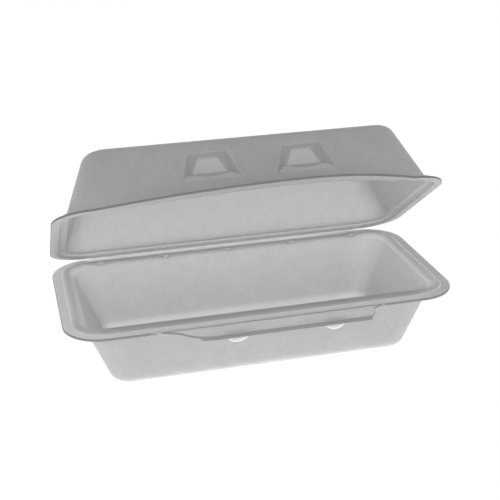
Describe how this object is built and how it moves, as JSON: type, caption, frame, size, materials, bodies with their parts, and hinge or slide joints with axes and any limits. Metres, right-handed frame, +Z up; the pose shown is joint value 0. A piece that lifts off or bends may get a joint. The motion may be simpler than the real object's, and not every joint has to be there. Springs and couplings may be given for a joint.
{
  "type": "hinged foam clamshell container",
  "caption": "Hinged foam food container: an oblong tray, a deep lid with two lock windows, and a fold-up lock flap with two lugs on the front rim.",
  "frame": {"origin": "centre of the tray's underside, on the surface it stands on", "axes": "+X along the hinge, to the right seen from the front; +Y from the front to the hinge; +Z up"},
  "size_m": [0.2222, 0.1373, 0.1249],
  "materials": {
    "foam": "soft satin skin of extruded polystyrene foam, pale grey, fine mottled cells"
  },
  "bodies": {
    "tray": {"tray": "foam"},
    "lid": {"lid": "foam"},
    "lock_flap": {"lock_flap": "foam"}
  },
  "joints": [
    {"name": "lid_hinge", "type": "hinge", "parent": "tray", "child": "lid", "pos_m": [0, 0.0573, 0.03895], "axis": [-1, 0, 0], "range_deg": [-34, 142]},
    {"name": "lock_flap_fold", "type": "hinge", "parent": "tray", "child": "lock_flap", "pos_m": [0, -0.0573, 0.0388], "axis": [-1, 0, 0], "range_deg": [0, 78]}
  ]
}
